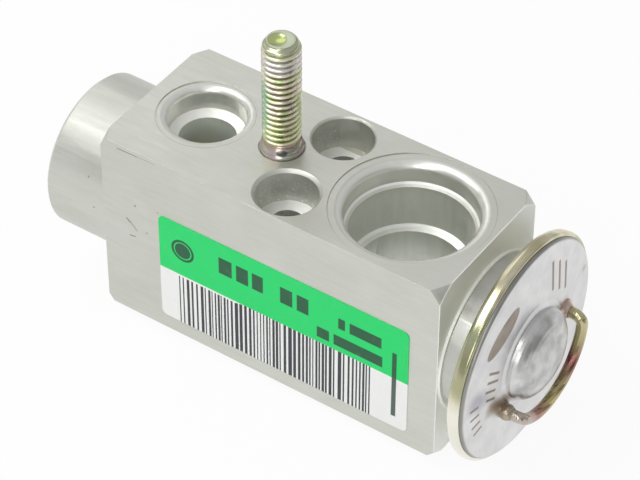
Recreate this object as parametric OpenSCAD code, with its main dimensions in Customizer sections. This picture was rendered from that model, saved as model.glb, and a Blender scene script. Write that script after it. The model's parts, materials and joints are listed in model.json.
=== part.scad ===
// Block-type thermostatic expansion valve, in millimetres.
// The origin is the middle of the port face: +X runs to the power head, +Y to the back,
// and +Z points out of the port face, the way the mounting stud stands.

/* [Block] */
// Length of the block between its turned ends
block_len = 60.4; // [58:0.2:66]
// Width of the block, front to back
block_width = 25.8; // [25.6:0.2:32]
// Height of the block, port face to base
block_height = 33.6; // [33:0.2:40]
// Depth of the turned axis below the port face
axis_depth = 17.1; // [16.8:0.1:18]
// Radius at which the 45 degree corner cut starts on the boss end
boss_end_facing = 20.0; // [19.2:0.1:21]
// Radius at which the 45 degree corner cut starts on the head end
head_end_facing = 19.7; // [19.2:0.1:21]

/* [Boss and neck] */
// Radius of the plain boss
boss_radius = 12.6; // [11:0.1:14]
// Length of the boss beyond the block
boss_len = 11.8; // [10:0.2:16]
// Chamfer on the outer edge of the boss
boss_chamfer = 0.6; // [0.2:0.1:1.2]
// Radius of the neck that carries the power head
neck_radius = 12.4; // [11.6:0.1:13]
// Length of the neck beyond the block
neck_len = 4.4; // [3.6:0.2:7]
// How far the thin foot ring of the neck stands out
foot_ring = 0.45; // [0.1:0.05:0.8]
// Thickness of the foot ring
foot_ring_len = 0.45; // [0.2:0.05:1]

/* [Suction ports] */
// Distance of the suction ports from the middle of the block
suction_x = 17; // [15.6:0.2:18.6]
// Radius of the spot-faced ring round a suction port
suction_ring = 12.4; // [11.8:0.1:12.8]
// Radius of the wall below the rounded mouth
suction_wall = 10; // [9.6:0.1:10.6]
// Depth of the upper wall
suction_wall_depth = 3.55; // [2.4:0.05:5]
// Radius of the pipe bore
suction_bore = 9.35; // [8.8:0.05:9.5]
// Depth of the pipe bore
suction_bore_depth = 11.4; // [9:0.1:13]
// Radius of the passage between the two suction ports
suction_hole = 8.2; // [7.4:0.1:8.6]

/* [Liquid ports] */
// Distance of the liquid inlet from the middle of the block, towards the boss
inlet_x = 20.05; // [19:0.05:21]
// Distance of the liquid outlet from the middle of the block, towards the boss
outlet_x = 9; // [8.6:0.1:9.4]
// Sideways offset of the liquid inlet
inlet_offset = 0.35; // [0:0.05:1]
// Radius of the spot-faced ring round a liquid port
liquid_ring = 7.65; // [7.3:0.05:7.8]
// Radius of the wall below the rounded mouth
liquid_wall = 6; // [5.6:0.1:6.2]
// Depth of the wall
liquid_wall_depth = 4.05; // [3:0.05:5]
// Radius of the liquid inlet passage
inlet_hole = 4.45; // [4:0.05:4.8]
// Radius of the liquid outlet passage
outlet_hole = 3.6; // [3.2:0.1:3.9]

/* [Port mouths] */
// Depth of the spot face in each ring
spot_depth = 0.15; // [0.05:0.05:0.4]
// Radius of the rounded lip of a suction port
suction_lip = 1.4; // [0.8:0.1:1.6]
// Radius of the rounded lip of a liquid port
liquid_lip = 1.05; // [0.6:0.05:1.3]
// Height of each conical step inside a port
step_height = 0.55; // [0.3:0.05:1]

/* [Fixing holes] */
// Distance between the two bolt holes, front to back
bolt_spacing = 14.7; // [14.4:0.1:15]
// Radius of the counterbores
bolt_head_radius = 4.75; // [4.4:0.05:4.8]
// Depth of the counterbores
bolt_head_depth = 5.9; // [4:0.1:8]
// Radius of the bolt holes
bolt_hole_radius = 2.65; // [2.4:0.05:3]
// Chamfer at the front counterbore
front_chamfer = 0.5; // [0.2:0.05:0.6]
// Chamfer at the back counterbore
back_chamfer = 0.32; // [0.2:0.02:0.5]

/* [Mounting stud] */
// Distance of the stud from the middle of the block, towards the boss
stud_x = 6.45; // [6.2:0.05:6.8]
// Sideways offset of the stud
stud_offset = 0.6; // [0:0.05:0.8]
// Radius of the stud over its thread
stud_radius = 3; // [2.5:0.1:3.2]
// Height of the stud above the port face
stud_height = 20.3; // [14:0.1:30]
// Length of thread screwed into the block
stud_depth = 9; // [7:0.5:10]
// Depth of the recess in the port face that takes the stud's collar
stud_seat = 0.25; // [0.1:0.05:0.5]
// How far the collar at the foot stands out from the thread
stud_collar = 0.4; // [0.2:0.05:0.5]
// Height of the straight part of the collar
stud_collar_height = 0.5; // [0.3:0.1:1]
// Length of the tapered tip
stud_tip = 1.6; // [0.8:0.1:2.4]

/* [Power head] */
// Radius of the power head over its rim
head_radius = 18.3; // [16.6:0.1:21]
// Gap between the neck and the back of the power head
head_gap = 0.2; // [0.1:0.05:0.5]
// Thickness of the lower cover
lower_cover_wall = 1.4; // [1.2:0.1:2]
// Thickness of the upper cover
upper_cover_wall = 1.2; // [0.9:0.1:1.4]
// Thickness of the diaphragm
diaphragm_wall = 0.2; // [0.1:0.05:0.3]
// Height of the diaphragm's ripple
diaphragm_ripple = 0.3; // [0.2:0.05:0.5]
// How far the rim stands up round the edge of the upper cover
rim_reach = 0.6; // [0.4:0.1:0.8]
// Thickness of the rim's wall
rim_wall = 0.6; // [0.5:0.05:1]
// Radius of the upper cover's rounded edge
cover_round = 0.6; // [0.3:0.05:0.7]
// How far the upper cover rises between its edge and the dome
cover_rise = 0.7; // [0.5:0.1:1.6]
// Radius of the dome at its foot
dome_radius = 7.4; // [6:0.1:8.6]
// Height of the dome above the cover
dome_height = 3.9; // [3:0.1:6]
// Width of the small step round the foot of the dome
dome_step = 0.4; // [0.2:0.05:0.6]
// Outer radius of the threaded stub that screws into the neck
stub_radius = 9.4; // [9.2:0.1:10]
// Wall of the threaded stub
stub_wall = 1.7; // [1.4:0.1:2]
// How far the threaded stub reaches into the block past its end face
stub_reach = 1; // [0.5:0.1:1.4]

/* [Charge tube] */
// Radius of the charge tube
tube_radius = 0.9; // [0.7:0.05:1.1]
// Gap between the foot of the dome and the tube's brazed leg
tube_leg_gap = 0.9; // [0.3:0.05:1.4]
// Gap between the foot of the dome and the tube's sealed foot
tube_foot_gap = 0.85; // [0.7:0.05:2]
// Height of the tube's loop above the cover
tube_height = 2.9; // [2.8:0.1:4.4]

/* [Inner valve] */
// Radius of the spring chamber
chamber_radius = 6; // [5.8:0.1:6.3]
// Distance of the seat from the middle of the block, towards the boss
seat_x = 14; // [13.6:0.1:14.4]
// Radius of the orifice
orifice_radius = 1.9; // [1.6:0.05:2.1]
// Radius of the ball
ball_radius = 2.6; // [2.4:0.1:3]
// Radius of the push pin
pin_radius = 1; // [0.8:0.05:1.1]
// Running clearance of the pin and of the stem in their guides
guide_clearance = 0.05; // [0.02:0.01:0.08]
// Radius of the feeler stem
stem_radius = 1.7; // [1.4:0.1:2]
// Radius of the feeler's head under the diaphragm
feeler_head_radius = 7.3; // [6.6:0.1:7.4]
// Thickness of the feeler's head
feeler_head_len = 2.5; // [1.5:0.1:3]
// Wall of the stem's guide bush
bush_wall = 0.65; // [0.5:0.05:0.9]
// Length of the stem's guide bush
bush_len = 4; // [3:0.1:4.2]
// Full lift of the ball off its seat
valve_lift = 0.7; // [0.4:0.05:0.9]

/* [Spring and setting screw] */
// Radius of the spring wire
wire_radius = 0.6; // [0.4:0.05:0.7]
// Radius of the spring to the middle of its wire
coil_radius = 4.1; // [3.9:0.05:4.4]
// Number of turns
spring_turns = 5.5; // [4:0.5:7]
// Radius of the ball carrier's flange
carrier_flange = 4.9; // [4.8:0.1:5.3]
// Radius of the setting screw over its thread
screw_radius = 6.95; // [6.8:0.05:7.4]
// Length of the setting screw
screw_len = 9.5; // [8:0.1:11]
// How deep the setting screw sits in the boss
screw_recess = 1.2; // [0.5:0.1:3]
// Width across the flats of the hexagon socket
socket_flats = 8; // [5:0.5:8.5]
// Depth of the hexagon socket
socket_depth = 4.5; // [3:0.1:5]

/* [Label] */
// Length of the label
label_len = 45; // [30:0.5:52]
// Height of the label
label_height = 20.4; // [12:0.2:24]
// Distance of the label's top edge below the port face
label_drop = 10.4; // [6:0.1:12]
// Distance of the label's middle from the middle of the block
label_x = 2.8; // [0:0.1:3]
// Thickness of the label
label_thick = 0.1; // [0.08:0.02:0.2]
// Radius of the label's corners
label_corner = 1; // [0.5:0.1:2]

/* [Hidden] */
$fn = 96;

// Ends of the block, the boss and the neck along X
block_x0 = -block_len / 2;
block_x1 = block_len / 2;
boss_x0 = block_x0 - boss_len;
neck_x1 = block_x1 + neck_len;
// Overlap that makes cuts and joined shapes run through each other
over = 1;
// Radial gap between a screwed-in piece and its hole
thread_gap = 0.05;
// Gap left between pieces that only touch
touch_gap = 0.03;

// Neck bore, the power head's planes and its wall on the block side
neck_bore = stub_radius + thread_gap;
neck_bore_x0 = block_x1 - stub_reach - 0.4;
head_x0 = neck_x1 + head_gap;
diaphragm_x = head_x0 + lower_cover_wall;
upper_x0 = diaphragm_x + diaphragm_wall;
upper_x1 = upper_x0 + upper_cover_wall;
rim_x1 = upper_x0 + rim_reach;
dome_x = upper_x1 + cover_rise;
cover_edge = head_radius - rim_wall - touch_gap;
wall_hole_radius = stem_radius + bush_wall + 0.4;

// Feeler stem, its bush, the seal pocket and the pin's bore
oring_section = 0.6;
bush_radius = stem_radius + guide_clearance + bush_wall;
bush_x1 = suction_x - suction_hole - 0.35;
bush_x0 = bush_x1 - bush_len;
stem_x0 = bush_x0 + valve_lift + 0.25;
pocket_len = 2.4;
pocket_radius = pin_radius + 2 * oring_section + 0.1;
pocket_x0 = bush_x0 - pocket_len;
washer_len = 0.4;
feeler_x1 = diaphragm_x - touch_gap;

// Ball on the edge of the orifice, the tip of the pin, and the carrier behind the ball
ball_x = -seat_x - sqrt(ball_radius * ball_radius - orifice_radius * orifice_radius) - 0.05;
pin_x0 = ball_x + ball_radius + touch_gap;
carrier_x1 = ball_x - 0.9;
carrier_body = 3;
flange_x1 = ball_x - ball_radius - 1.3;
flange_len = 1.2;
flange_x0 = flange_x1 - flange_len;
spigot_len = 1.8;

// Setting screw and its groove
screw_x0 = boss_x0 + screw_recess;
screw_x1 = screw_x0 + screw_len;
screw_bore = screw_radius + thread_gap;
groove_len = 2.1;
groove_x1 = screw_x1 - 1.2;
groove_radius = screw_bore - 1.8;
screw_oring_section = 0.85;
spigot_radius = coil_radius - wire_radius - 0.3;

// The head's O-ring sits in the countersink of the neck
head_oring_section = 0.6;
oring_gap = 0.05;
neck_chamfer = sqrt(2) * (head_oring_section + oring_gap) + 2 * (head_oring_section + oring_gap)
    - head_gap - thread_gap;

// Plain cylinder along the turned axis
module turned(x0, x1, r) {
    translate([x0, 0, -axis_depth])
        rotate([0, 90, 0])
            cylinder(h = x1 - x0, r = r);
}

// Solid turned from a list of [radius, x] points
module turned_profile(points) {
    translate([0, 0, -axis_depth])
        rotate([0, 90, 0])
            rotate_extrude()
                polygon(points);
}

// O-ring on the turned axis
module turned_ring(x, radius, section) {
    translate([x, 0, -axis_depth])
        rotate([0, 90, 0])
            rotate_extrude()
                translate([radius, 0])
                    circle(r = section, $fn = 32);
}

// Quarter of a rounded lip, from the spot face round to the wall
function lip_points(wall, lip, top) =
    [for (a = [0 : 15 : 90]) [wall + lip - lip * sin(a), top - lip + lip * cos(a)]];

// Space of one port below z = 0: ring, lip, wall, conical step and passage
module port_space(ring, wall, lip, wall_depth, hole, depth) {
    rotate_extrude()
        polygon(concat(
            [[0, over], [ring, over], [ring, -spot_depth]],
            lip_points(wall, lip, -spot_depth),
            [[wall, -wall_depth], [hole, -wall_depth - step_height], [hole, -depth], [0, -depth]]));
}

// Suction ports from both faces, with their pipe bores and the passage between them
module suction_space() {
    for (side = [0, 1])
        translate([suction_x, 0, -block_height / 2])
            rotate([180 * side, 0, 0])
                translate([0, 0, block_height / 2]) {
                    port_space(suction_ring, suction_wall, suction_lip, suction_wall_depth,
                               suction_bore, suction_bore_depth);
                    rotate_extrude()
                        polygon([[0, -suction_wall_depth - over], [suction_bore, -suction_wall_depth - over],
                                 [suction_bore, -suction_bore_depth],
                                 [suction_hole, -suction_bore_depth - step_height],
                                 [suction_hole, -block_height / 2 - over], [0, -block_height / 2 - over]]);
                }
}

// Liquid inlet on the port face and liquid outlet on the base
module liquid_space() {
    translate([-inlet_x, inlet_offset, 0])
        port_space(liquid_ring, liquid_wall, liquid_lip, liquid_wall_depth, inlet_hole, axis_depth);
    translate([-outlet_x, 0, -block_height])
        rotate([180, 0, 0])
            port_space(liquid_ring, liquid_wall, liquid_lip, liquid_wall_depth, outlet_hole,
                       block_height - axis_depth + outlet_hole - 0.5);
}

// One bolt hole with its counterbore and chamfers
module bolt_space(chamfer) {
    rotate_extrude()
        polygon([[0, over], [bolt_head_radius + chamfer + over, over],
                 [bolt_head_radius + chamfer, 0], [bolt_head_radius, -chamfer],
                 [bolt_head_radius, -bolt_head_depth], [bolt_hole_radius, -bolt_head_depth],
                 [bolt_hole_radius, -block_height + 0.4], [bolt_hole_radius + 0.4, -block_height],
                 [bolt_hole_radius + 0.4, -block_height - over], [0, -block_height - over]]);
}

// Everything bored along the turned axis, from the boss to the neck
module axis_space() {
    turned(boss_x0 - over, screw_x1 + 0.4, screw_bore);
    turned(screw_x1, -seat_x, chamber_radius);
    turned(-seat_x - over, -outlet_x, orifice_radius);
    turned(-outlet_x, pocket_x0 + over, pin_radius + guide_clearance);
    turned(pocket_x0, bush_x0 + over, pocket_radius);
    turned(bush_x0, suction_x, bush_radius + 0.02);
    turned(suction_x, neck_bore_x0 + over, wall_hole_radius);
    turned(neck_bore_x0, neck_x1 + over, neck_bore);
    turned_profile([[0, neck_x1 - neck_chamfer - neck_bore], [neck_bore + neck_chamfer + over, neck_x1 + over],
                    [0, neck_x1 + over]]);
}

module valve_body() {
    color([0.79, 0.79, 0.76])
        difference() {
            union() {
                intersection() {
                    translate([block_x0, -block_width / 2, -block_height])
                        cube([block_len, block_width, block_height]);
                    turned_profile([[0, block_x0], [boss_end_facing, block_x0],
                                    [boss_end_facing + block_len / 3, block_x0 + block_len / 3],
                                    [head_end_facing + block_len / 3, block_x1 - block_len / 3],
                                    [head_end_facing, block_x1], [0, block_x1]]);
                }
                turned_profile([[0, block_x0 + over], [boss_radius, block_x0 + over],
                                [boss_radius, boss_x0 + boss_chamfer],
                                [boss_radius - boss_chamfer, boss_x0], [0, boss_x0]]);
                turned(block_x1 - over, neck_x1, neck_radius);
                turned(block_x1 - over, block_x1 + foot_ring_len, neck_radius + foot_ring);
            }
            suction_space();
            liquid_space();
            translate([0, -bolt_spacing / 2, 0])
                bolt_space(front_chamfer);
            translate([0, bolt_spacing / 2, 0])
                bolt_space(back_chamfer);
            translate([-stud_x, stud_offset, -stud_depth - 0.5])
                cylinder(h = stud_depth + 0.5 + over, r = stud_radius + 0.02);
            translate([-stud_x, stud_offset, -stud_seat])
                cylinder(h = stud_seat + over, r = stud_radius + stud_collar + 0.15);
            axis_space();
        }
}

// Printed label on the front face
module label() {
    color([0.93, 0.93, 0.93])
        translate([label_x, -block_width / 2, -label_drop - label_height / 2])
            rotate([90, 0, 0])
                linear_extrude(label_thick)
                    union() {
                        square([label_len - 2 * label_corner, label_height], center = true);
                        square([label_len, label_height - 2 * label_corner], center = true);
                        for (x = [-1, 1], y = [-1, 1])
                            translate([x * (label_len / 2 - label_corner), y * (label_height / 2 - label_corner)])
                                circle(r = label_corner, $fn = 32);
                    }
}

// Stud with a collar at its foot and a tapered tip; its thread is cut to the full radius
module mounting_stud() {
    color([0.70, 0.72, 0.42])
        translate([-stud_x, stud_offset, 0])
            difference() {
                rotate_extrude()
                    polygon([[0, -stud_depth], [stud_radius - 0.6, -stud_depth], [stud_radius, -stud_depth + 0.6],
                             [stud_radius, -stud_seat], [stud_radius + stud_collar, -stud_seat],
                             [stud_radius + stud_collar, stud_collar_height],
                             [stud_radius, stud_collar_height + 1.2], [stud_radius, stud_height - stud_tip],
                             [stud_radius - 0.55 * stud_tip, stud_height - 0.15 * stud_tip],
                             [stud_radius - 0.75 * stud_tip, stud_height], [0, stud_height]]);
                translate([0, 0, stud_height - 0.5])
                    cylinder(h = 0.5 + over, r1 = 0.2, r2 = 1.4);
            }
}

// Lower cover: threaded stub, back plate, and the rim that stands round the upper cover
module lower_cover() {
    back_round = 0.5 * (rim_x1 - head_x0);
    front_round = 0.8 * rim_wall;
    color([0.78, 0.73, 0.46])
        turned_profile(concat(
            [[stub_radius - stub_wall, block_x1 - stub_reach], [stub_radius, block_x1 - stub_reach],
             [stub_radius, head_x0]],
            [for (a = [0 : 15 : 90]) [head_radius - back_round + back_round * sin(a),
                                      head_x0 + back_round - back_round * cos(a)]],
            [for (a = [0 : 15 : 90]) [head_radius - front_round + front_round * cos(a),
                                      rim_x1 - front_round + front_round * sin(a)]],
            [[head_radius - rim_wall, rim_x1], [head_radius - rim_wall, diaphragm_x],
             [stub_radius - stub_wall, diaphragm_x]]));
}

// Half section of the upper cover's outer side, from its edge to the top of the dome
function dome_points(radius, height, base) =
    [for (a = [0 : 7.5 : 90]) [radius * pow(cos(a), 0.94), base + height * pow(sin(a), 0.94)]];

// Outer form of the upper cover as a solid with no hollow
module cover_form() {
    turned_profile(concat(
        [[0, upper_x0], [cover_edge, upper_x0]],
        [for (a = [0 : 15 : 90]) [cover_edge - cover_round + cover_round * cos(a),
                                  upper_x1 - cover_round + cover_round * sin(a)]],
        [[cover_edge - 1.2, upper_x1], [dome_radius + dome_step + 0.6, dome_x],
         [dome_radius + dome_step, dome_x + 0.25], [dome_radius, dome_x + 0.35]],
        dome_points(dome_radius, dome_height - 0.35, dome_x + 0.35)));
}

module upper_cover() {
    color([0.80, 0.80, 0.80])
        difference() {
            cover_form();
            turned_profile(concat(
                [[0, upper_x0 - over], [cover_edge - 2, upper_x0 - over], [cover_edge - 2, upper_x0],
                 [cover_edge - 2.4, upper_x0 + diaphragm_ripple + 0.1],
                 [dome_radius + dome_step + 0.4, dome_x - upper_cover_wall]],
                dome_points(dome_radius - upper_cover_wall, dome_height - upper_cover_wall, dome_x)));
            tube_leg_at()
                rotate([0, 90, 0])
                    cylinder(h = 4 * upper_cover_wall, r = tube_radius + 0.02, center = true);
        }
}

// Thin disc clamped between the covers, with one ripple
module diaphragm() {
    ripple = [[cover_edge - 3.4, 0], [cover_edge - 4.4, diaphragm_ripple], [cover_edge - 5.4, diaphragm_ripple],
              [cover_edge - 6.4, 0]];
    color([0.72, 0.73, 0.74])
        turned_profile(concat(
            [[0, diaphragm_x], [0, diaphragm_x + diaphragm_wall]],
            [for (i = [3 : -1 : 0]) [ripple[i][0], diaphragm_x + diaphragm_wall + ripple[i][1]]],
            [[cover_edge, diaphragm_x + diaphragm_wall], [cover_edge, diaphragm_x]],
            [for (p = ripple) [p[0], diaphragm_x + p[1]]]));
}

// Charge tube: two straight legs on the cover and a loop round the lower side of the dome
tube_leg_angle = 5;
tube_foot_angle = -136;
tube_leg_radius = dome_radius + dome_step + tube_radius + tube_leg_gap;
tube_foot_radius = dome_radius + dome_step + tube_radius + tube_foot_gap;
function polar(radius, angle, height) = [height, radius * cos(angle), radius * sin(angle)];
function cover_x(radius) =
    upper_x1 + cover_rise * (cover_edge - 1.2 - radius) / (cover_edge - 1.8 - dome_radius - dome_step);
tube_leg_x = cover_x(tube_leg_radius);
tube_foot_x = cover_x(tube_foot_radius) + 0.2;
tube_top = dome_x + tube_height;
tube_bend = 1.4;
tube_turn = tube_bend / tube_leg_radius * 180 / PI;
tube_first = tube_leg_angle - tube_turn;
tube_last = tube_foot_angle + tube_turn;
tube_route = concat(
    [polar(tube_leg_radius, tube_leg_angle, tube_leg_x - upper_cover_wall),
     polar(tube_leg_radius, tube_leg_angle, tube_leg_x + 0.6)],
    [for (a = [0, 30, 60]) polar(tube_leg_radius, tube_leg_angle - tube_turn * (1 - cos(a)),
                                 tube_top - tube_bend * (1 - sin(a)))],
    [for (t = [0 : 0.1 : 1.01]) polar(tube_leg_radius + (tube_foot_radius - tube_leg_radius) * t,
                                      tube_first + (tube_last - tube_first) * t, tube_top)],
    [for (a = [60, 30, 0]) polar(tube_foot_radius, tube_foot_angle + tube_turn * (1 - cos(a)),
                                 tube_top - tube_bend * (1 - sin(a)))],
    [polar(tube_foot_radius, tube_foot_angle, tube_foot_x + 0.6),
     polar(tube_foot_radius, tube_foot_angle, tube_foot_x)]);

// Smooth curve through the route's points
function spline(p, i, t) =
    let (a = p[max(i - 1, 0)], b = p[i], c = p[i + 1], d = p[min(i + 2, len(p) - 1)])
    0.5 * (2 * b + (c - a) * t + (2 * a - 5 * b + 4 * c - d) * t * t + (3 * b - a - 3 * c + d) * t * t * t);
function smooth_route(p, steps) =
    concat([for (i = [0 : len(p) - 2], s = [0 : steps - 1]) spline(p, i, s / steps)], [p[len(p) - 1]]);
function unit(v) = v / norm(v);
function direction(p, i) = unit(p[min(i + 1, len(p) - 1)] - p[max(i - 1, 0)]);

// Round tube swept along a path of points, as one closed mesh
module swept_tube(path, radius, sides, side_axis) {
    rings = [for (i = [0 : len(path) - 1])
        let (d = direction(path, i), u = unit(cross(d, side_axis)), v = cross(d, u))
        [for (k = [0 : sides - 1]) path[i] + radius * (cos(360 * k / sides) * u + sin(360 * k / sides) * v)]];
    points = [for (ring = rings, p = ring) p];
    last = (len(path) - 1) * sides;
    walls = [for (i = [0 : len(path) - 2], k = [0 : sides - 1])
        let (a = i * sides + k, b = i * sides + (k + 1) % sides)
        each [[a, a + sides, b + sides], [a, b + sides, b]]];
    ends = [[for (k = [0 : sides - 1]) k], [for (k = [sides - 1 : -1 : 0]) last + k]];
    polyhedron(points, concat(walls, ends), convexity = 8);
}

module tube_leg_at() {
    translate([tube_leg_x, tube_leg_radius * cos(tube_leg_angle),
               -axis_depth + tube_leg_radius * sin(tube_leg_angle)])
        children();
}

module tube_foot_at() {
    translate([tube_foot_x, tube_foot_radius * cos(tube_foot_angle),
               -axis_depth + tube_foot_radius * sin(tube_foot_angle)])
        children();
}

module charge_tube() {
    color([0.66, 0.50, 0.36])
        translate([0, 0, -axis_depth])
            swept_tube(smooth_route(tube_route, 3), tube_radius, 12, [0.6, 0.75, 0.2]);
}

// Fillet of filler metal round a leg of the tube, cut to the form of the cover
module solder_bead(spread, height) {
    difference() {
        rotate([0, 90, 0])
            rotate_extrude()
                polygon([[tube_radius + touch_gap, -0.6], [tube_radius + spread, -0.6],
                         [tube_radius + 0.9 * spread, 0.15 * height], [tube_radius + 0.45 * spread, 0.5 * height],
                         [tube_radius + 0.15, height], [tube_radius + touch_gap, height]]);
        children();
    }
}

module tube_braze() {
    color([0.80, 0.62, 0.55])
        difference() {
            tube_leg_at()
                solder_bead(0.9, 0.9);
            cover_form();
        }
}

module tube_seal() {
    seal_radius = tube_radius + 0.4;
    color([0.52, 0.42, 0.30])
        difference() {
            tube_foot_at()
                rotate([0, 90, 0])
                    rotate_extrude()
                        polygon(concat([[tube_radius + 2 * touch_gap, -0.6]],
                            [for (a = [-35 : 10 : 45]) [seal_radius * cos(a), 0.3 + seal_radius * sin(a)]],
                            [[tube_radius + 2 * touch_gap, 0.3 + seal_radius * sin(45)]]));
            cover_form();
        }
}

// Feeler: the head under the diaphragm and the stem across the suction passage
module feeler_stem() {
    color([0.75, 0.75, 0.73])
        turned_profile([[0, stem_x0], [stem_radius - 0.3, stem_x0], [stem_radius, stem_x0 + 0.3],
                        [stem_radius, feeler_x1 - feeler_head_len - 1],
                        [stem_radius + 1, feeler_x1 - feeler_head_len],
                        [feeler_head_radius, feeler_x1 - feeler_head_len],
                        [feeler_head_radius, feeler_x1 - 0.4], [feeler_head_radius - 0.4, feeler_x1],
                        [0, feeler_x1]]);
}

module stem_guide() {
    color([0.74, 0.62, 0.34])
        difference() {
            turned(bush_x0, bush_x1, bush_radius);
            turned(bush_x0 - over, bush_x1 + over, stem_radius + guide_clearance);
        }
}

module push_pin() {
    color([0.74, 0.75, 0.77])
        turned(pin_x0, stem_x0, pin_radius);
}

module pin_oring() {
    color([0.10, 0.10, 0.10])
        turned_ring(pocket_x0 + oring_section + 0.1, (pin_radius + pocket_radius) / 2, oring_section);
}

module seal_washer() {
    color([0.70, 0.71, 0.72])
        difference() {
            turned(bush_x0 - washer_len - touch_gap, bush_x0 - touch_gap, pocket_radius - touch_gap);
            turned(bush_x0 - washer_len - over, bush_x0 + over, pin_radius + 0.1);
        }
}

module valve_ball() {
    color([0.78, 0.79, 0.81])
        translate([ball_x, 0, -axis_depth])
            sphere(r = ball_radius);
}

// Carrier that holds the ball and takes the end of the spring
module ball_carrier() {
    color([0.76, 0.64, 0.36])
        difference() {
            union() {
                turned(flange_x0 - spigot_len, carrier_x1, carrier_body);
                turned(flange_x0, flange_x1, carrier_flange);
            }
            translate([ball_x, 0, -axis_depth])
                sphere(r = ball_radius + touch_gap);
        }
}

// Clip on the carrier, whose fingers rub on the chamber wall and stop chatter
module damper_clip() {
    clip_wall = 0.3;
    finger_width = 1.6;
    color([0.66, 0.67, 0.69])
        difference() {
            union() {
                turned(flange_x1 + touch_gap, carrier_x1, carrier_body + clip_wall);
                for (turn = [0, 120, 240])
                    translate([flange_x1 + touch_gap, 0, -axis_depth])
                        rotate([turn + 60, 0, 0])
                            translate([0, -finger_width / 2, 0])
                                cube([clip_wall, finger_width, chamber_radius - 0.2]);
            }
            turned(flange_x1, carrier_x1 + over, carrier_body + touch_gap);
        }
}

// Coil spring between the setting screw and the carrier
module valve_spring() {
    start = screw_x1 + wire_radius + 0.05;
    end = flange_x0 - wire_radius - 0.05;
    steps = ceil(spring_turns * 18);
    path = [for (i = [0 : steps])
        let (a = 360 * spring_turns * i / steps, s = i / steps,
             closed = 0.5 / spring_turns,
             x = s < closed ? 0.15 * s / closed
                 : s > 1 - closed ? 1 - 0.15 * (1 - s) / closed
                 : 0.15 + 0.7 * (s - closed) / (1 - 2 * closed))
        [start + (end - start) * x, coil_radius * cos(a), coil_radius * sin(a)]];
    color([0.62, 0.63, 0.65])
        translate([0, 0, -axis_depth])
            swept_tube(path, wire_radius, 8, [1, 0, 0]);
}

// Setting screw with a hexagon socket, an O-ring groove and a spigot for the spring
module setting_screw() {
    color([0.74, 0.72, 0.62])
        difference() {
            turned_profile([[0, screw_x0], [screw_radius - 0.5, screw_x0], [screw_radius, screw_x0 + 0.5],
                            [screw_radius, groove_x1 - groove_len], [groove_radius, groove_x1 - groove_len],
                            [groove_radius, groove_x1], [screw_radius, groove_x1],
                            [screw_radius, screw_x1], [spigot_radius, screw_x1],
                            [spigot_radius, screw_x1 + spigot_len], [0, screw_x1 + spigot_len]]);
            translate([screw_x0 - over, 0, -axis_depth])
                rotate([0, 90, 0])
                    cylinder(h = socket_depth + over, r = socket_flats / sqrt(3), $fn = 6);
        }
}

module screw_oring() {
    color([0.10, 0.10, 0.10])
        turned_ring(groove_x1 - groove_len / 2, (groove_radius + screw_bore) / 2, screw_oring_section);
}

module head_oring() {
    color([0.10, 0.10, 0.10])
        turned_ring(head_x0 - head_oring_section - oring_gap, stub_radius + head_oring_section + oring_gap,
                    head_oring_section);
}

valve_body();
label();
mounting_stud();
lower_cover();
upper_cover();
diaphragm();
charge_tube();
tube_braze();
tube_seal();
feeler_stem();
stem_guide();
push_pin();
pin_oring();
seal_washer();
valve_ball();
ball_carrier();
damper_clip();
valve_spring();
setting_screw();
screw_oring();
head_oring();
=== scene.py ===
"""Looks of the block-type expansion valve: materials, stud thread, label print, light and camera."""
import json
import math

import bmesh
import bpy
from mathutils import Euler, Matrix, Vector


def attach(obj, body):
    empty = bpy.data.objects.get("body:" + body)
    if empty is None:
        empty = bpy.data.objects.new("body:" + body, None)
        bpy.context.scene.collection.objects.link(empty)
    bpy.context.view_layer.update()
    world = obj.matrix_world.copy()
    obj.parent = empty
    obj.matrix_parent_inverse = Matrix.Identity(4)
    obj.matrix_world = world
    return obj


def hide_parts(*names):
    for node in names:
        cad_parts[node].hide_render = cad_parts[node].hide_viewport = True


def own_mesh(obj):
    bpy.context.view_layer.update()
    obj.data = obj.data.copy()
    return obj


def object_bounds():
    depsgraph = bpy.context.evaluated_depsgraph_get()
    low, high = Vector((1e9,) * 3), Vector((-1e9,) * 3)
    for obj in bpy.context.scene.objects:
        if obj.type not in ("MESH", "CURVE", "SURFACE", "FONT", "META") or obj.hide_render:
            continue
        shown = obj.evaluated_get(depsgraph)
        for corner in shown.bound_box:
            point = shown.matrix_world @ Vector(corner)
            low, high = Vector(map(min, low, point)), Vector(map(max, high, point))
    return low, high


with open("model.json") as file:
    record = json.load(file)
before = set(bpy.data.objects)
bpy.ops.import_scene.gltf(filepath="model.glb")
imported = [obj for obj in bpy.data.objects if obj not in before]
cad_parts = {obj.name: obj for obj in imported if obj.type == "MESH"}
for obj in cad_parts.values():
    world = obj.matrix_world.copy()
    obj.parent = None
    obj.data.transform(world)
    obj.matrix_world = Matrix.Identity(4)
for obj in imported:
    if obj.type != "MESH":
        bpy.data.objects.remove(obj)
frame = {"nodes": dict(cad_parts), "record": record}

MM = 0.001
CAD_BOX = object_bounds()
NODES = frame["nodes"]

# Places and sizes that part.scad also holds, in millimetres
AXIS_Z = -17.1
BLOCK_END_X, BLOCK_FRONT_Y = 30.2, -12.9
NECK_RADIUS = 12.4
SUCTION_X, SUCTION_RING, SUCTION_WALL, SUCTION_BORE = 17.0, 12.4, 10.0, 9.35
INLET_X, LIQUID_RING, LIQUID_WALL = -20.05, 7.65, 6.0
HEAD_FACE_X, COVER_EDGE, DOME_RADIUS = 37.6, 17.67, 7.4
STUD_X, STUD_Y = -6.45, 0.6
STUD_HEIGHT, STUD_DEPTH, STUD_RADIUS = 20.3, 9.0, 3.0
COLLAR_OUT, COLLAR_HEIGHT, STUD_SEAT = 0.4, 0.5, 0.25

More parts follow.
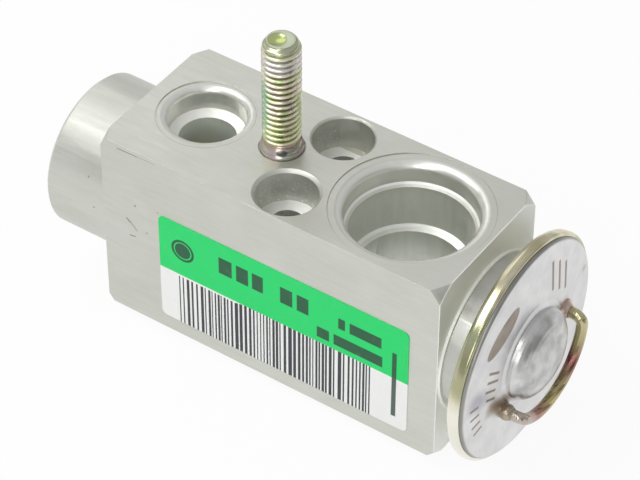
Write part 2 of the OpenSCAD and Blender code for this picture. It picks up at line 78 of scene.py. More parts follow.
# The thread starts above a plain foot and runs out softly there
THREAD_START = COLLAR_HEIGHT + 1.3
THREAD_PITCH, THREAD_DEPTH = 1.0, 0.6
ROOT_HALF, FLANK = 0.06, 0.34
RUN_OUT_LENGTH, RUN_OUT_RADIUS = 0.8, STUD_RADIUS - 0.25
# The stud's rounded tip, and the dimple that lies off its middle
TIP_RADIUS, TIP_LENGTH, TIP_RISE = 2.2, 1.8, 0.01
DIMPLE_X, DIMPLE_Y, DIMPLE_RADIUS, DIMPLE_DEPTH = -0.46, -0.3, 1.35, 0.3

# The label: its green band ends at this height, and the bars fill this stretch of x
LABEL_SPLIT_Z = -20.75
BARS_X = (-16.35, 18.85)
BARS_PER_MM = 1.45
DISC_X, DISC_Z, DISC_RADIUS = -15.3, -15.6, 2.1
# Plain blocks of print on the label: x from and to, z from and to
PRINT_BLOCKS = ((-8.6, -6.2, -16.4, -13.2), (-5.4, -3.2, -16.4, -13.2), (-2.5, -0.5, -16.4, -13.2),
                (2.6, 4.8, -16.4, -13.2), (5.6, 7.7, -16.4, -13.2),
                (13.0, 14.2, -16.0, -13.9), (15.0, 20.6, -16.0, -13.9),
                (9.2, 11.4, -19.7, -17.6), (12.2, 20.8, -19.7, -17.6), (22.5, 23.3, -28.6, -15.6))
# Scratches on the front face and specks on the boss: two ends in x and z, and a width
MARKS = (((-25.9, -14.3), (-25.2, -14.9), 0.2), ((-25.2, -14.7), (-23.9, -16.1), 0.12),
         ((-25.4, -17.6), (-24.3, -17.4), 0.16), ((-27.0, -0.9), (-23.2, -0.8), 0.12),
         ((-23.2, -0.8), (-20.0, -0.7), 0.05), ((-24.25, -11.1), (-24.0, -10.95), 0.26),
         ((-19.9, -10.3), (-19.8, -10.2), 0.2), ((-22.2, -15.6), (-22.0, -15.5), 0.2))
SPECKS = (((-34.3, -11.5), (-34.2, -11.35), 0.24), ((-32.6, -15.9), (-32.4, -15.8), 0.2))
# Heat stains on the head's face: y, z, size, strength and colour
HEAT_BROWN, BURNT_BROWN, HEAT_GREY = (0.40, 0.29, 0.21), (0.26, 0.18, 0.12), (0.30, 0.29, 0.37)
HEAT_STAINS = ((9.0, -15.0, 3.0, 0.55, HEAT_BROWN), (-14.0, -16.3, 3.9, 0.6, HEAT_GREY),
               (-8.3, -21.4, 3.4, 0.8, HEAT_BROWN), (-10.0, -20.4, 3.2, 0.8, BURNT_BROWN),
               (15.6, -12.8, 1.6, 0.6, HEAT_BROWN))
# Strokes on the head's face where it was etched: two ends in y and z, and a width
ETCHED = (((5.5, -3.6), (5.3, -9.0), 0.42), ((7.5, -4.9), (7.3, -10.3), 0.42),
          ((9.4, -6.4), (9.2, -11.6), 0.42),
          ((-11.4, -12.6), (-9.0, -14.0), 0.36), ((-11.8, -14.2), (-9.2, -15.4), 0.36),
          ((-12.2, -15.8), (-9.8, -16.9), 0.36), ((-12.0, -17.6), (-9.8, -18.6), 0.36),
          ((-15.8, -17.0), (-13.8, -17.3), 0.34), ((-15.6, -19.0), (-13.5, -19.0), 0.34),
          ((-15.1, -21.0), (-13.1, -20.7), 0.34), ((-14.5, -22.8), (-12.6, -22.2), 0.34))
# One plain oval stands where the largest mark was: its middle in y and z, its slope and its half axes
ETCHED_OVAL = ((-7.9, -7.5), math.radians(29.0), (4.7, 1.6))

# Lamps: name, place and target in metres, size in metres and power in watts
LAMPS = (("key", (-0.30, -0.23, 0.54), (0, 0, -0.01), 0.44, 1.7),
         ("fill", (0.20, -0.60, 0.25), (0, 0, -0.01), 0.30, 0.6),
         ("slot", (0.05, -0.42, 0.45), (0.03, 0, -0.01), 0.12, 0.35),
         ("sky", (-0.30, 0.22, 0.31), (-0.02, 0, -0.01), 0.32, 0.19))
# The camera: place in millimetres, turn about x, y and z in degrees, and lens
CAMERA_PLACE = (182.527, -266.509, 284.146)
CAMERA_TURN = (47.1855, -0.1896, 34.4583)
CAMERA_LENS = 164.2


# Node helpers
class Shader:
    """One procedural material, with short calls for the nodes that it is made of."""

    def __init__(self, name, color=(0.8, 0.8, 0.8), metallic=0.0, roughness=0.5):
        self.material = bpy.data.materials.new(name)
        self.material.use_nodes = True
        self.nodes = self.material.node_tree.nodes
        self.links = self.material.node_tree.links
        self.bsdf = self.nodes["Principled BSDF"]
        self.put(self.bsdf.inputs["Base Color"], (*color, 1.0))
        self.put(self.bsdf.inputs["Metallic"], metallic)
        self.put(self.bsdf.inputs["Roughness"], roughness)
        place = self.nodes.new("ShaderNodeTexCoord")
        scale = self.node("ShaderNodeVectorMath", "SCALE", place.outputs["Object"])
        scale.inputs["Scale"].default_value = 1 / MM
        self.position = scale.outputs[0]
        axes = self.node("ShaderNodeSeparateXYZ", None, self.position)
        self.x, self.y, self.z = axes.outputs

    def put(self, socket, value):
        if isinstance(value, bpy.types.NodeSocket):
            self.links.new(value, socket)
        else:
            socket.default_value = value

    def node(self, kind, operation, *values):
        node = self.nodes.new(kind)
        if operation:
            node.operation = operation
        for socket, value in zip(node.inputs, values):
            self.put(socket, value)
        return node

    def math(self, operation, *values, clamp=False):
        node = self.node("ShaderNodeMath", operation, *values)
        node.use_clamp = clamp
        return node.outputs[0]

    def chain(self, operation, values):
        """One math node for each value after the first."""
        total, *rest = values
        for value in rest:
            total = self.math(operation, total, value)
        return total

    def times(self, *values):
        return self.chain("MULTIPLY", values)

    def plus(self, *values):
        return self.chain("ADD", values)

    def most(self, *values):
        return self.chain("MAXIMUM", values)

    def minus(self, a, b):
        return self.math("SUBTRACT", a, b)

    def vector(self, x, y, z):
        return self.node("ShaderNodeCombineXYZ", None, x, y, z).outputs[0]

    def ramp(self, value, low, high):
        """0 below low, 1 above high, smooth between."""
        node = self.nodes.new("ShaderNodeMapRange")
        node.interpolation_type = "SMOOTHSTEP"
        for name, v in (("Value", value), ("From Min", low), ("From Max", high)):
            self.put(node.inputs[name], v)
        return node.outputs[0]

    def between(self, value, low, high, soft=0.02):
        """1 from low to high, 0 outside, with soft ends."""
        return self.times(self.ramp(value, low - soft, low + soft),
                          self.ramp(value, high + soft, high - soft))

    def radius(self, a, b, a0=0.0, b0=0.0):
        return self.math("SQRT", self.plus(self.math("POWER", self.minus(a, a0), 2.0),
                                           self.math("POWER", self.minus(b, b0), 2.0)))

    def face_up(self):
        """How far the face looks up: 1 level, 0 upright."""
        geometry = self.nodes.new("ShaderNodeNewGeometry")
        return self.node("ShaderNodeSeparateXYZ", None, geometry.outputs["Normal"]).outputs[2]

    def segment(self, a, b, start, end, width):
        """1 on a thin line between two points of a plane, 0 away from it."""
        way = Vector(end) - Vector(start)
        u, v = way / way.length
        da, db = self.minus(a, start[0]), self.minus(b, start[1])
        along = self.plus(self.times(da, u), self.times(db, v))
        across = self.minus(self.times(da, v), self.times(db, u))
        return self.times(self.between(along, 0.0, way.length, 0.1),
                          self.ramp(self.math("ABSOLUTE", across), width, 0.3 * width))

    def noise(self, vector, scale, detail=2.0, roughness=0.5):
        node = self.nodes.new("ShaderNodeTexNoise")
        self.put(node.inputs["Vector"], vector)
        node.inputs["Scale"].default_value = scale
        node.inputs["Detail"].default_value = detail
        node.inputs["Roughness"].default_value = roughness
        return node.outputs[0]

    def mix(self, share, a, b):
        node = self.nodes.new("ShaderNodeMix")
        node.data_type = "RGBA"
        for socket, value in ((node.inputs[0], share), (node.inputs[6], a), (node.inputs[7], b)):
            self.put(socket, (*value, 1.0) if isinstance(value, tuple) else value)
        return node.outputs[2]

    def tint(self, base, mask, share, color):
        """Lays this share of a colour over the base where the mask is 1."""
        return self.mix(self.times(mask, share), base, color)

    def stops(self, value, *stops):
        """Colour by value, through (place, colour) stops."""
        node = self.nodes.new("ShaderNodeValToRGB")
        self.put(node.inputs[0], value)
        elements = node.color_ramp.elements
        while len(elements) < len(stops):
            elements.new(1.0)
        for element, (place, color) in zip(elements, stops):
            element.position = place
            element.color = (*color, 1.0)
        return node.outputs[0]

    def color(self, value):
        self.put(self.bsdf.inputs["Base Color"], value)

    def roughness(self, value):
        self.put(self.bsdf.inputs["Roughness"], value)

    def bump(self, height, depth_mm, strength=1.0):
        node = self.nodes.new("ShaderNodeBump")
        node.inputs["Strength"].default_value = strength
        node.inputs["Distance"].default_value = depth_mm * MM
        self.put(node.inputs["Height"], height)
        if self.bsdf.inputs["Normal"].is_linked:
            self.put(node.inputs["Normal"], self.bsdf.inputs["Normal"].links[0].from_socket)
        self.put(self.bsdf.inputs["Normal"], node.outputs[0])


# Materials
def block_marks(s):
    """Small scratches on the front face and specks on the boss."""
    front = s.ramp(s.y, BLOCK_FRONT_Y + 0.05, BLOCK_FRONT_Y + 0.02)
    boss_side = s.ramp(s.y, -3.0, -5.0)
    scratches = s.most(*(s.segment(s.x, s.z, *mark) for mark in MARKS))
    specks = s.most(*(s.segment(s.x, s.z, *speck) for speck in SPECKS))
    return s.most(s.times(scratches, front), s.times(specks, boss_side))


def block_aluminium():
    s = Shader("block_aluminium", metallic=1.0, roughness=0.5)
    cloud = s.noise(s.position, 0.09, 3.0)
    grain = s.noise(s.vector(s.times(s.x, 0.05), s.y, s.z), 7.0, 3.0, 0.6)
    smear = s.noise(s.vector(s.times(s.x, 0.1), s.y, s.z), 1.6, 3.0, 0.6)
    streaks = s.noise(s.vector(s.times(s.x, 0.9), s.times(s.y, 0.9), s.times(s.z, 0.1)), 1.0, 3.0)
    base = s.mix(s.ramp(cloud, 0.35, 0.65), (0.64, 0.645, 0.59), (0.67, 0.675, 0.625))
    base = s.tint(base, s.ramp(grain, 0.3, 0.7), 0.10, (0.50, 0.50, 0.47))

    # Distances from the valve's axis and from the two ports, and how far each face looks up
    round_axis = s.radius(s.y, s.z, 0.0, AXIS_Z)
    suction = s.radius(s.x, s.y, SUCTION_X)
    liquid = s.radius(s.x, s.y, INLET_X)
    level = s.face_up()
    up = s.ramp(level, 0.25, 0.6)
    inside = s.times(s.ramp(s.z, -0.8, -2.0), s.between(s.x, -29.0, 29.5), s.between(s.y, -11.0, 11.0))
    near_port = s.most(s.ramp(suction, SUCTION_RING + 0.1, SUCTION_RING - 0.1),
                       s.ramp(liquid, LIQUID_RING + 0.05, LIQUID_RING - 0.15))

    # Painted light makes the bored walls, their ledges that face up and the milled end brighter than the
    # sawn and anodised outside, and the port lips get a painted highlight
    painted_light_wall = s.most(s.times(s.ramp(suction, SUCTION_WALL + 0.2, SUCTION_WALL - 0.1), streaks, 0.6),
                  s.ramp(liquid, LIQUID_WALL + 0.2, LIQUID_WALL - 0.1))
    painted_light_wall = s.times(painted_light_wall, s.ramp(s.z, -3.0, -6.5))
    painted_highlight_lip = s.times(near_port, s.ramp(s.z, -4.0, -2.5), s.ramp(level, 0.99, 0.95))
    edge = s.most(s.between(suction, SUCTION_BORE - 0.55, SUCTION_BORE - 0.05, 0.15),
                  s.between(suction, SUCTION_WALL - 0.3, SUCTION_WALL + 0.1, 0.1))
    edge = s.plus(0.2, s.times(edge, 0.7))
    painted_light_ledge = s.times(up, inside, s.most(edge, s.ramp(suction, SUCTION_RING - 0.4, SUCTION_RING + 0.6)))
    painted_light_end = s.times(s.ramp(s.x, BLOCK_END_X - 0.2, BLOCK_END_X - 0.05),
                     s.ramp(round_axis, NECK_RADIUS + 0.03, NECK_RADIUS + 0.1))
    # Painted light and painted highlight: these tints brighten the walls, lips, ledges and end face
    base = s.tint(base, painted_light_wall, 0.8, (0.88, 0.93, 0.87))
    base = s.tint(base, painted_highlight_lip, 0.7, (0.92, 0.92, 0.88))
    base = s.tint(base, painted_light_ledge, 0.95, (0.98, 0.98, 0.94))
    base = s.tint(base, painted_light_end, 0.9, (0.95, 0.97, 0.94))
    dull = s.plus(s.times(s.most(painted_light_ledge, s.times(painted_light_wall, 0.3)), 0.6), s.times(painted_light_end, 0.6))
    s.put(s.bsdf.inputs["Metallic"], s.math("SUBTRACT", 1.0, dull, clamp=True))

    # A thin dark line runs round the edge of each spot face, on the top
    dark_ring = s.most(s.between(suction, SUCTION_RING - 0.1, SUCTION_RING + 0.02, 0.04),
                  s.between(liquid, LIQUID_RING - 0.09, LIQUID_RING + 0.02, 0.04))
    dark_ring = s.times(dark_ring, s.ramp(s.z, -0.6, -0.3))
    base = s.tint(base, dark_ring, 0.33, (0.12, 0.12, 0.11))

    # The counterbore walls get painted shade, darker than the rest, and real speckles of deposit
    bored = s.times(inside, s.minus(1.0, up), s.ramp(suction, SUCTION_WALL + 0.4, SUCTION_WALL + 0.8),
                    s.ramp(liquid, LIQUID_WALL + 0.4, LIQUID_WALL + 0.8))
    speckles = s.times(bored, s.ramp(s.noise(s.position, 3.2, 2.0, 0.6), 0.60, 0.66))
    # Painted shade in the counterbores
    base = s.tint(base, bored, 0.5, (0.52, 0.54, 0.50))
    base = s.tint(base, speckles, 0.7, (1.0, 1.0, 1.0))
    base = s.tint(base, block_marks(s), 0.7, (0.12, 0.12, 0.12))

    # The neck gets painted shade, a little darker where it sits between the block and the head, and it is
    # smoother
    neck = s.times(s.ramp(s.x, BLOCK_END_X, BLOCK_END_X + 0.1),
                   s.ramp(round_axis, NECK_RADIUS + 0.1, NECK_RADIUS + 0.03))
    base = s.tint(base, neck, 0.4, (0.42, 0.43, 0.40))
    s.color(base)
    dullness = s.plus(0.43, s.times(s.ramp(smear, 0.3, 0.7), 0.12))
    finer = s.most(painted_highlight_lip, s.times(neck, 0.5))
    s.roughness(s.minus(dullness, s.times(finer, 0.14)))

    # Turned lines run round the boss and the neck, and round each port, and a grain over the rest
    on_ends = s.most(s.ramp(s.x, -BLOCK_END_X - 0.1, -BLOCK_END_X - 0.3),
                     s.ramp(s.x, BLOCK_END_X + 0.1, BLOCK_END_X + 0.3))
    lathe = s.noise(s.vector(s.times(s.x, 9.0), s.times(round_axis, 9.0), 0.0), 1.0, 2.0)
    rings = s.noise(s.vector(s.times(suction, 8.0), s.times(liquid, 8.0), 0.0), 1.0, 2.0)
    s.bump(s.times(lathe, on_ends), 0.012, 0.7)
    s.bump(s.times(rings, near_port), 0.010, 0.6)
    s.bump(s.times(grain, s.minus(1.0, near_port)), 0.006, 0.5)
    return s.material


def label_bars(s):
    """Bars of chance widths, in fine and coarse groups."""
    sway = s.times(s.math("SINE", s.times(s.x, 0.7)), 0.5)
    place = s.plus(s.times(s.x, BARS_PER_MM), sway)
    dice = s.nodes.new("ShaderNodeTexWhiteNoise")
    dice.noise_dimensions = "1D"
    s.put(dice.inputs["W"], s.math("FLOOR", place))
    width = s.plus(0.32, s.times(dice.outputs["Value"], 0.46))
    bar = s.math("LESS_THAN", s.math("FRACT", place), width)
    top = s.plus(LABEL_SPLIT_Z - 0.35, s.times(s.ramp(s.x, -6.0, -4.0), 0.35))
    return s.times(bar, s.between(s.x, *BARS_X), s.math("LESS_THAN", s.z, top))


def label_print(s):
    """Plain blocks and a ringed disc stand where the print was."""
    blocks = (s.times(s.between(s.x, x0, x1, 0.05), s.between(s.z, z0, z1, 0.05))
              for x0, x1, z0, z1 in PRINT_BLOCKS)
    out = s.radius(s.x, s.z, DISC_X, DISC_Z)
    disc = s.ramp(out, DISC_RADIUS + 0.05, DISC_RADIUS - 0.05)
    ring = s.between(out, DISC_RADIUS - 0.65, DISC_RADIUS - 0.45, 0.04)
    return s.most(*blocks, s.times(disc, s.minus(1.0, ring)))


def label_film():
    s = Shader("label_film", metallic=0.0, roughness=0.35)
    green = s.ramp(s.z, LABEL_SPLIT_Z - 0.04, LABEL_SPLIT_Z + 0.04)
    base = s.mix(green, (0.87, 0.87, 0.86), (0.015, 0.68, 0.16))
    base = s.mix(label_bars(s), base, (0.045, 0.05, 0.06))
    base = s.tint(base, label_print(s), 0.92, (0.018, 0.06, 0.038))
    wear = s.noise(s.position, 1.1, 3.0)
    base = s.tint(base, s.ramp(wear, 0.55, 0.8), 0.06, (0.5, 0.5, 0.5))
    s.color(base)
    s.bump(wear, 0.02, 0.3)
    s.bsdf.inputs["Specular IOR Level"].default_value = 0.25
    return s.material


def gold_plating():
    """Yellow passivated steel: the thin film shifts its hue from place to place; a darker olive band on
    the upper half is painted shade and the pale part low down is painted light.
    """
    s = Shader("gold_plating", metallic=1.0, roughness=0.2)
    film = s.noise(s.position, 0.11, 2.0, 0.45)
    base = s.stops(s.ramp(film, 0.28, 0.72), (0.0, (0.40, 0.37, 0.22)), (0.35, (0.55, 0.50, 0.33)),
                   (0.65, (0.70, 0.66, 0.49)), (1.0, (0.46, 0.48, 0.30)))
    # Painted shade: a darker olive band on the upper half
    base = s.tint(base, s.between(s.z, -13.0, -6.0, 1.5), 0.5, (0.33, 0.32, 0.18))
    # Painted light: palest low down
    base = s.tint(base, s.ramp(s.z, -12.5, -16.5), 0.8, (0.92, 0.91, 0.82))
    s.color(base)
    fine = s.noise(s.position, 1.4, 2.0)
    s.roughness(s.plus(0.16, s.times(fine, 0.08)))
    s.bump(fine, 0.01, 0.5)
    return s.material


def stud_plating():
    """The film is greenish gold up the thread, paler near the tip, and a pinkish brown at the foot."""
    s = Shader("stud_plating", metallic=1.0, roughness=0.26)
    film = s.noise(s.position, 0.5, 2.0, 0.5)
    out = s.radius(s.x, s.y, STUD_X, STUD_Y)
    sideways = s.plus(s.times(s.minus(s.x, STUD_X), 0.82), s.times(s.minus(s.y, STUD_Y), 0.57))
    thread = s.stops(s.ramp(film, 0.3, 0.7), (0.0, (0.58, 0.68, 0.40)), (0.4, (0.88, 0.85, 0.62)),
                     (0.7, (0.95, 0.89, 0.78)), (1.0, (0.70, 0.62, 0.56)))
    # Painted shade darkens the thread's roots
    thread = s.mix(s.ramp(out, STUD_RADIUS - 0.15, STUD_RADIUS - 0.5), thread, (0.32, 0.30, 0.21))
    high = s.between(s.z, STUD_HEIGHT - 4.6, STUD_HEIGHT - 2.0, 0.8)
    thread = s.tint(thread, high, 0.5, (0.76, 0.74, 0.82))
    thread = s.tint(thread, s.ramp(s.z, 9.0, 5.0), 0.3, (0.74, 0.86, 0.42))
    teal = s.times(s.ramp(sideways, -1.5, -2.6), s.between(s.z, 4.5, 13.5, 2.0))
    thread = s.tint(thread, teal, 0.6, (0.36, 0.62, 0.48))

    # The plain foot, browner just under the thread
    cast = s.noise(s.position, 0.35, 1.0)
    shank = s.stops(s.ramp(cast, 0.35, 0.65), (0.0, (0.52, 0.53, 0.45)), (0.5, (0.58, 0.51, 0.44)),
                    (1.0, (0.54, 0.45, 0.49)))
    under_thread = s.between(s.z, THREAD_START - 0.1, THREAD_START + 0.6, 0.3)
    shank = s.tint(shank, under_thread, 0.7, (0.50, 0.33, 0.25))
    base = s.mix(s.ramp(s.z, THREAD_START + 1.1, THREAD_START + 0.3), thread, shank)

    # The tip, its flat end and the dimple
    base = s.tint(base, s.ramp(s.z, STUD_HEIGHT - 1.9, STUD_HEIGHT - 1.1), 0.75, (0.58, 0.61, 0.42))
    base = s.tint(base, s.ramp(s.z, STUD_HEIGHT - 0.03, STUD_HEIGHT), 0.6, (0.42, 0.47, 0.38))
    dimple = s.radius(s.x, s.y, STUD_X + DIMPLE_X, STUD_Y + DIMPLE_Y)
    dimple = s.times(s.ramp(dimple, DIMPLE_RADIUS + 0.05, DIMPLE_RADIUS - 0.05),
                     s.ramp(s.z, STUD_HEIGHT - 0.8, STUD_HEIGHT - 0.7))
    base = s.tint(base, dimple, 0.8, (0.58, 0.68, 0.24))

    # One dark spot is left on the plain foot, on the label's side
    spot = s.radius(s.times(sideways, 0.62), s.z, 0.0, 1.15)
    spot = s.times(s.ramp(spot, 0.62, 0.42), s.ramp(s.y, STUD_Y - 1.0, STUD_Y - 1.6))
    base = s.tint(base, spot, 0.85, (0.06, 0.08, 0.075))
    s.color(base)
    s.bump(film, 0.02, 0.4)
    return s.material


def etched_marks(s):
    """Plain strokes and one oval stand where the head's face was etched."""
    strokes = s.most(*(s.segment(s.y, s.z, *mark) for mark in ETCHED))
    (oval_y, oval_z), slope, (long, short) = ETCHED_OVAL
    dy, dz = s.minus(s.y, oval_y), s.minus(s.z, oval_z)
    along = s.plus(s.times(dy, math.cos(slope) / long), s.times(dz, math.sin(slope) / long))
    across = s.minus(s.times(dz, math.cos(slope) / short), s.times(dy, math.sin(slope) / short))
    out = s.radius(along, across)
    burnt = s.ramp(s.noise(s.position, 0.5, 1.0), 0.3, 0.7)
    oval = s.times(s.ramp(out, 1.0, 0.93), s.plus(0.82, s.times(burnt, 0.15)))
    oval = s.most(oval, s.times(s.between(out, 0.86, 0.95, 0.04), 0.9))
    return s.most(strokes, s.times(oval, s.ramp(s.x, HEAD_FACE_X - 0.8, HEAD_FACE_X - 0.4)))


def cover_steel():
    s = Shader("cover_steel", metallic=1.0, roughness=0.3)
    reach = s.radius(s.y, s.z, 0.0, AXIS_Z)
    rings = s.noise(s.vector(s.times(reach, 6.0), 0.0, 0.0), 1.0, 2.0)
    stain = s.noise(s.position, 0.25, 3.0, 0.55)
    base = s.mix(s.ramp(stain, 0.35, 0.7), (0.66, 0.66, 0.66), (0.77, 0.77, 0.765))
    for y, z, size, share, shade in HEAT_STAINS:
        near = s.ramp(s.plus(s.radius(s.y, s.z, y, z), s.times(stain, 1.6)), size, 0.35 * size)
        base = s.tint(base, near, share, shade)

    # Painted reflection: dark patches over the dome stand in for the dim surroundings it mirrors
    dome_dark_reflection = s.times(s.ramp(reach, DOME_RADIUS + 0.2, DOME_RADIUS - 0.6),
                    s.ramp(s.noise(s.position, 0.4, 2.0), 0.2, 0.75))
    base = s.tint(base, dome_dark_reflection, 0.75, (0.32, 0.33, 0.31))
    etched = etched_marks(s)
    base = s.tint(base, etched, 0.85, (0.20, 0.135, 0.08))

    # Painted shade darkens the seam with the rim, where the gap lies in shadow
    seam_shade = s.times(s.ramp(reach, COVER_EDGE - 0.42, COVER_EDGE - 0.07),
                   s.ramp(s.x, HEAD_FACE_X - 1.6, HEAD_FACE_X - 1.0))
    base = s.tint(base, seam_shade, 0.7, (0.14, 0.13, 0.10))
    s.color(base)
    s.roughness(s.plus(0.27, s.times(stain, 0.16)))
    s.bump(rings, 0.010, 0.5)
    s.bump(etched, -0.02, 0.5)
    return s.material


def tube_copper():
    s = Shader("tube_copper", metallic=1.0, roughness=0.26)
    heat = s.noise(s.position, 0.5, 2.0)
    turn = s.math("ARCTAN2", s.minus(s.z, AXIS_Z), s.y)
    along = s.ramp(s.plus(turn, s.times(heat, 0.3)), -2.3, 0.35)
    s.color(s.stops(along, (0.0, (0.52, 0.46, 0.40)), (0.1, (0.40, 0.21, 0.18)), (0.3, (0.50, 0.43, 0.21)),
                    (0.52, (0.42, 0.34, 0.20)), (0.74, (0.27, 0.10, 0.10)), (0.9, (0.42, 0.38, 0.20)),
                    (1.0, (0.56, 0.51, 0.30))))
    s.roughness(s.plus(0.16, s.times(heat, 0.12)))
    s.bump(heat, 0.03, 0.5)
    return s.material


def plain_metal(name, color, roughness):
    s = Shader(name, color, metallic=1.0, roughness=roughness)
    cloud = s.noise(s.position, 0.8, 3.0)
    darker = tuple(0.78 * c for c in color)
    s.color(s.mix(s.ramp(cloud, 0.35, 0.7), color, darker))
    s.roughness(s.plus(roughness - 0.04, s.times(cloud, 0.12)))
    s.bump(cloud, 0.02, 0.4)
    return s.material


def seal_rubber():
    s = Shader("seal_rubber", (0.02, 0.02, 0.02), roughness=0.6)
    skin = s.noise(s.position, 4.0, 2.0)
    s.color(s.mix(skin, (0.016, 0.016, 0.017), (0.035, 0.035, 0.036)))
    s.bump(skin, 0.01, 0.5)
    return s.material


SLOTS = {
    "block_aluminium": block_aluminium(),
    "label_film": label_film(),
    "stud_plating": stud_plating(),
    "gold_plating": gold_plating(),
    "cover_steel": cover_steel(),
    "spring_steel": plain_metal("spring_steel", (0.60, 0.61, 0.63), 0.25),
    "tube_copper": tube_copper(),
    "braze_metal": plain_metal("braze_metal", (0.66, 0.50, 0.44), 0.34),
    "solder_metal": plain_metal("solder_metal", (0.45, 0.37, 0.28), 0.28),
    "inner_aluminium": plain_metal("inner_aluminium", (0.72, 0.72, 0.70), 0.35),
    "inner_brass": plain_metal("inner_brass", (0.76, 0.60, 0.30), 0.30),
    "bright_steel": plain_metal("bright_steel", (0.74, 0.75, 0.77), 0.15),
    "seal_rubber": seal_rubber(),
    "screw_plating": plain_metal("screw_plating", (0.72, 0.70, 0.56), 0.32),
}


def dress():
    """Gives every CAD node the material of its slot."""
    for part in frame["record"]["subparts"]:
        mesh = NODES[part["node"]].data
        mesh.materials.clear()
        mesh.materials.append(SLOTS[part["material_slot"]])


def soften(node, width_mm):
    """Rounds the sharp edges of a node a little."""
    piece = NODES[node]
    weld = piece.modifiers.new("weld", "WELD")
    weld.merge_threshold = 1e-6
    bevel = piece.modifiers.new("edge", "BEVEL")
    bevel.width = width_mm * MM
    bevel.segments = 2
    bevel.limit_method = "ANGLE"
    bevel.angle_limit = math.radians(30.0)
    bevel.harden_normals = True


def piece_from(name, mesh, slot, replaces, body="valve"):
    """Adds one finished mesh to the scene on its body."""
    mesh.materials.append(SLOTS[slot])
    piece = bpy.data.objects.new(name, mesh)
    bpy.context.scene.collection.objects.link(piece)
    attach(piece, body)
    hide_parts(*replaces)
    return piece


# Mounting stud with its helical thread
STUD_SIDES, ROWS_PER_PITCH = 72, 16
MIDDLE, DIMPLE = (0.0, 0.0), (DIMPLE_X, DIMPLE_Y)


def thread_depth(turn):
    """Outline of one pitch: 0 at the crest, the full depth at the root, smooth between."""
    rise = min(max((abs(turn % 1.0 - 0.5) - ROOT_HALF) / FLANK, 0.0), 1.0)
    return THREAD_DEPTH * (1 - rise * rise * (3 - 2 * rise))


def stud_vertex(mesh, side, radius, z, off=MIDDLE):
    angle = math.tau * side / STUD_SIDES
    x = STUD_X + off[0] + radius * math.cos(angle)
    y = STUD_Y + off[1] + radius * math.sin(angle)
    return mesh.verts.new(Vector((x, y, z)) * MM)


def add_thread(mesh):
    """A sheet that winds up the stud, one pitch higher after each turn."""
    turns = int((STUD_HEIGHT - THREAD_START) / THREAD_PITCH) + 2
    rows = turns * ROWS_PER_PITCH
    grid = []
    for side in range(STUD_SIDES + 1):
        column = []
        for row in range(rows + 1):
            turn = row / ROWS_PER_PITCH
            z = THREAD_START + (turn - 1 + side / STUD_SIDES) * THREAD_PITCH
            z = min(max(z, THREAD_START), STUD_HEIGHT)
            along_tip = max(0.0, 1 - (STUD_HEIGHT - z) / TIP_LENGTH)
            radius = STUD_RADIUS - (STUD_RADIUS - TIP_RADIUS) * along_tip ** 2.2
            radius -= thread_depth(turn) * (1 - along_tip) ** 0.3
            run_out = min(max((z - THREAD_START) / RUN_OUT_LENGTH, 0.0), 1.0)
            radius = (1 - run_out) * RUN_OUT_RADIUS + run_out * radius
            column.append(stud_vertex(mesh, side, radius, z))
        grid.append(column)
    for near, far in zip(grid, grid[1:]):
        for row in range(rows):
            mesh.faces.new((near[row], far[row], far[row + 1], near[row + 1]))


def add_rings(mesh, outline):
    """Turned rings through an outline of radius, height and middle."""
    rings = [[stud_vertex(mesh, side, radius, z, off) for side in range(STUD_SIDES)]
             for radius, z, off in outline]
    for low, high in zip(rings, rings[1:]):
        for j in range(STUD_SIDES):
            following = (j + 1) % STUD_SIDES
            mesh.faces.new((low[j], low[following], high[following], high[j]))


def stud_mesh():
    mesh = bmesh.new()
    add_thread(mesh)
    collar = STUD_RADIUS + COLLAR_OUT
    foot = ((0.0, -STUD_DEPTH), (STUD_RADIUS - 0.6, -STUD_DEPTH), (STUD_RADIUS, -STUD_DEPTH + 0.6),
            (STUD_RADIUS, -STUD_SEAT), (collar, -STUD_SEAT), (collar, COLLAR_HEIGHT - 0.08),
            (collar - 0.08, COLLAR_HEIGHT), (STUD_RADIUS + 0.1, 0.5 * THREAD_START),
            (STUD_RADIUS, THREAD_START - 0.15), (RUN_OUT_RADIUS, THREAD_START))
    add_rings(mesh, [(radius, z, MIDDLE) for radius, z in foot])
    dimple_floor = STUD_HEIGHT - DIMPLE_DEPTH
    add_rings(mesh, [(TIP_RADIUS, STUD_HEIGHT, MIDDLE), (TIP_RADIUS - 0.1, STUD_HEIGHT + TIP_RISE, MIDDLE),
                     (DIMPLE_RADIUS + 0.08, STUD_HEIGHT + TIP_RISE, DIMPLE),
                     (DIMPLE_RADIUS, STUD_HEIGHT - 0.02, DIMPLE),
                     (DIMPLE_RADIUS - 0.3, dimple_floor + 0.04, DIMPLE), (0.0, dimple_floor, DIMPLE)])
    bmesh.ops.remove_doubles(mesh, verts=mesh.verts, dist=2e-6)
    bmesh.ops.dissolve_degenerate(mesh, edges=mesh.edges, dist=1e-6)
    bmesh.ops.recalc_face_normals(mesh, faces=mesh.faces)
    for face in mesh.faces:
        face.smooth = True
    data = bpy.data.meshes.new("stud")
    mesh.to_mesh(data)
    mesh.free()
    return data


def add_spring():
    """The spring is drawn again as a piece of its own on the valve."""
    mesh = NODES["valve_spring"].data.copy()
    mesh.materials.clear()
    coil = piece_from("superheat_spring", mesh, "spring_steel", replaces=("valve_spring",))
    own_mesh(coil)


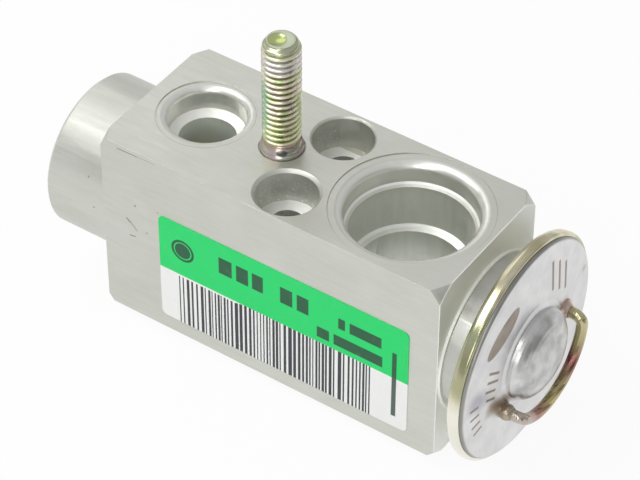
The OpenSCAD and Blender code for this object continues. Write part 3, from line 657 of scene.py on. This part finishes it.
# Floor, light and camera
def add_floor():
    bpy.ops.mesh.primitive_plane_add(size=3.0, location=(0, 0, CAD_BOX[0][2] - 0.0001))
    floor = bpy.context.object
    floor.name = "floor"
    material = bpy.data.materials.new("floor_white")
    material.use_nodes = True
    nodes, links = material.node_tree.nodes, material.node_tree.links
    nodes["Principled BSDF"].inputs["Base Color"].default_value = (0.85, 0.85, 0.85, 1)
    nodes["Principled BSDF"].inputs["Roughness"].default_value = 0.9
    glow = nodes.new("ShaderNodeEmission")
    path = nodes.new("ShaderNodeLightPath")
    share = nodes.new("ShaderNodeMath")
    share.operation = "MULTIPLY"
    share.inputs[1].default_value = 0.92
    blend = nodes.new("ShaderNodeMixShader")
    seen = nodes.new("ShaderNodeMath")
    seen.operation = "MAXIMUM"
    links.new(path.outputs["Is Camera Ray"], seen.inputs[0])
    links.new(path.outputs["Is Glossy Ray"], seen.inputs[1])
    links.new(seen.outputs[0], share.inputs[0])
    links.new(share.outputs[0], blend.inputs[0])
    links.new(nodes["Principled BSDF"].outputs[0], blend.inputs[1])
    links.new(glow.outputs[0], blend.inputs[2])
    links.new(blend.outputs[0], nodes["Material Output"].inputs["Surface"])
    floor.data.materials.append(material)


def add_world():
    world = bpy.data.worlds.new("studio")
    bpy.context.scene.world = world
    world.use_nodes = True
    nodes, links = world.node_tree.nodes, world.node_tree.links
    soft = nodes["Background"]
    soft.inputs["Strength"].default_value = 0.62

    # The room is dimmer low on the side of the power head, so that bright metal has something dark to show
    way = nodes.new("ShaderNodeTexCoord")
    slope = nodes.new("ShaderNodeVectorMath")
    slope.operation = "DOT_PRODUCT"
    slope.inputs[1].default_value = (-0.6, 0.0, 0.8)
    shade = nodes.new("ShaderNodeMapRange")
    shade.interpolation_type = "SMOOTHSTEP"
    for name, value in (("From Min", -0.55), ("From Max", -0.05), ("To Min", 0.24), ("To Max", 0.92)):
        shade.inputs[name].default_value = value
    links.new(way.outputs["Generated"], slope.inputs[0])
    links.new(slope.outputs["Value"], shade.inputs["Value"])
    links.new(shade.outputs[0], soft.inputs["Color"])
    white = nodes.new("ShaderNodeBackground")
    white.inputs["Color"].default_value = (1, 1, 1, 1)
    path = nodes.new("ShaderNodeLightPath")
    blend = nodes.new("ShaderNodeMixShader")
    links.new(path.outputs["Is Camera Ray"], blend.inputs[0])
    links.new(soft.outputs[0], blend.inputs[1])
    links.new(white.outputs[0], blend.inputs[2])
    links.new(blend.outputs[0], nodes["World Output"].inputs["Surface"])


def add_lamp(name, place, target, size, power):
    data = bpy.data.lights.new(name, "AREA")
    data.shape = "DISK"
    data.size = size
    data.energy = power
    lamp = bpy.data.objects.new(name, data)
    lamp.location = place
    lamp.rotation_euler = (Vector(target) - Vector(place)).to_track_quat("-Z", "Y").to_euler()
    bpy.context.scene.collection.objects.link(lamp)


def add_camera():
    data = bpy.data.cameras.new("camera")
    data.sensor_width = 36.0
    data.lens = CAMERA_LENS
    data.clip_start = 0.01
    camera = bpy.data.objects.new("camera", data)
    turn = Euler([math.radians(angle) for angle in CAMERA_TURN])
    camera.matrix_world = Matrix.LocRotScale(Vector(CAMERA_PLACE) * MM, turn, None)
    bpy.context.scene.collection.objects.link(camera)
    bpy.context.scene.camera = camera


dress()
soften("valve_body", 0.12)
piece_from("threaded_stud", stud_mesh(), "stud_plating", replaces=("mounting_stud",))
add_spring()
add_camera()
add_floor()
add_world()
for lamp in LAMPS:
    add_lamp(*lamp)
bpy.context.scene.view_settings.view_transform = "Standard"
